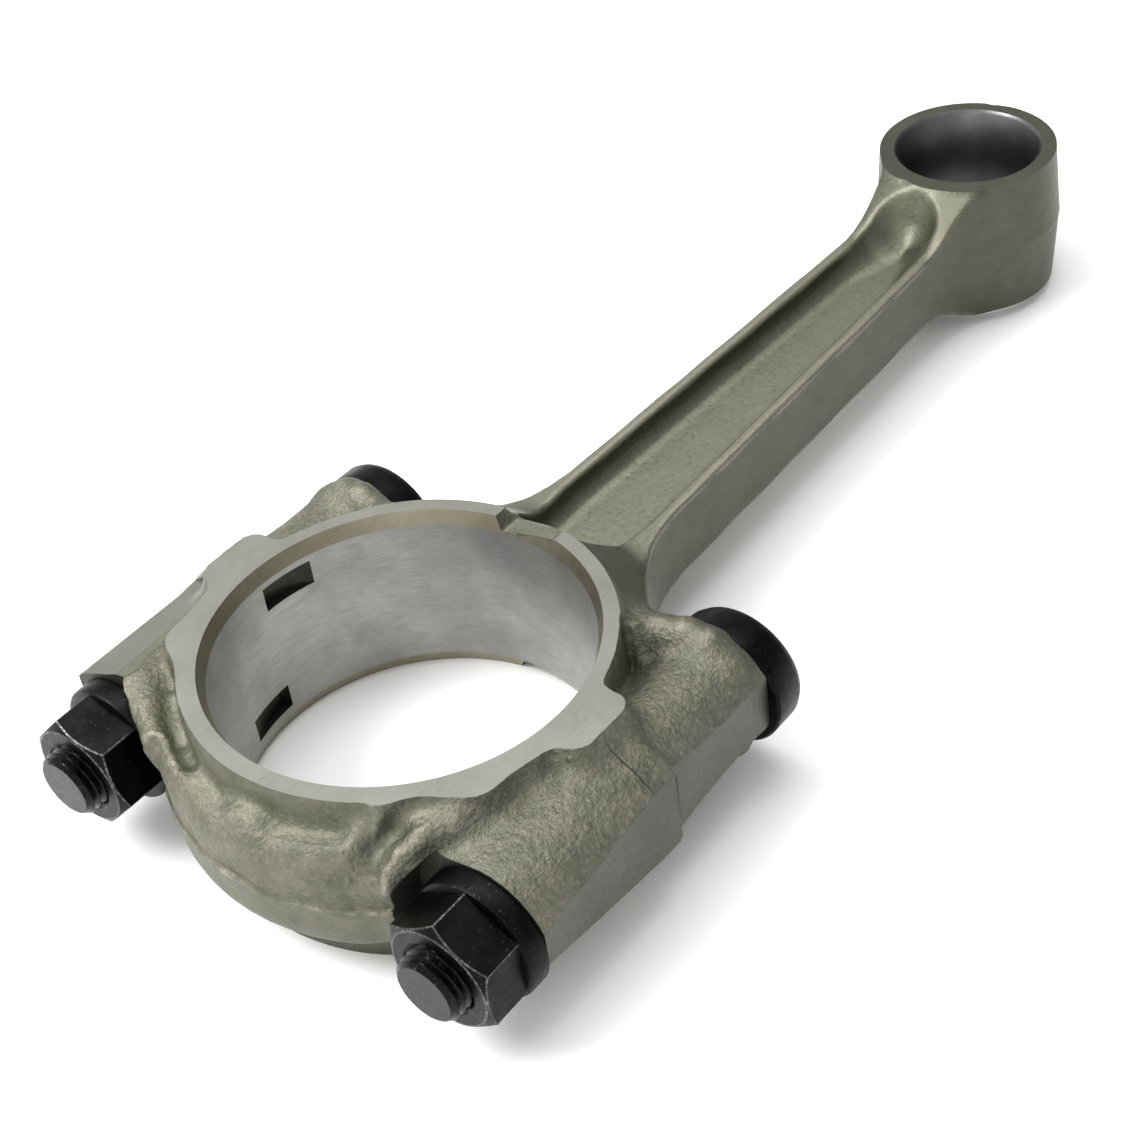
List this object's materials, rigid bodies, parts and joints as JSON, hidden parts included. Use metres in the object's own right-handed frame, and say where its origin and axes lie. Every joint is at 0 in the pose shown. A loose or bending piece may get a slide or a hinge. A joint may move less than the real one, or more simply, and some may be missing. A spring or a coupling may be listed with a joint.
{
  "type": "connecting rod",
  "caption": "Forged engine connecting rod with an I-beam shank, a plain small-end eye and a split big end whose cap is held by two bolts with collared hexagon nuts.",
  "frame": {"origin": "centre of the big-end bore at mid thickness", "axes": "+X from the big end to the small end, +Z along both bores, +Y to the side with the bearing tang slots"},
  "size_m": [0.1838, 0.0764, 0.0262],
  "materials": {
    "forged_steel": "rough forged skin with fine-machined faces",
    "black_steel": "black oxide, satin"
  },
  "bodies": {
    "rod": {"connecting_rod": "forged_steel"},
    "cap": {"rod_cap": "forged_steel"},
    "left_bolt": {"bolt_left": "black_steel"},
    "right_bolt": {"bolt_right": "black_steel"},
    "left_nut": {"nut_left": "black_steel"},
    "right_nut": {"nut_right": "black_steel"}
  },
  "joints": [
    {"name": "cap_slide", "type": "slide", "parent": "rod", "child": "cap", "axis": [-1, 0, 0], "range_m": [0, 0.036]},
    {"name": "bolt_left_slide", "type": "slide", "parent": "rod", "child": "left_bolt", "axis": [1, 0, 0], "range_m": [0, 0.058]},
    {"name": "bolt_right_slide", "type": "slide", "parent": "rod", "child": "right_bolt", "axis": [1, 0, 0], "range_m": [0, 0.058]},
    {"name": "nut_left_slide", "type": "slide", "parent": "cap", "child": "left_nut", "axis": [-1, 0, 0], "range_m": [0, 0.0125]},
    {"name": "nut_right_slide", "type": "slide", "parent": "cap", "child": "right_nut", "axis": [-1, 0, 0], "range_m": [0, 0.0125]}
  ]
}
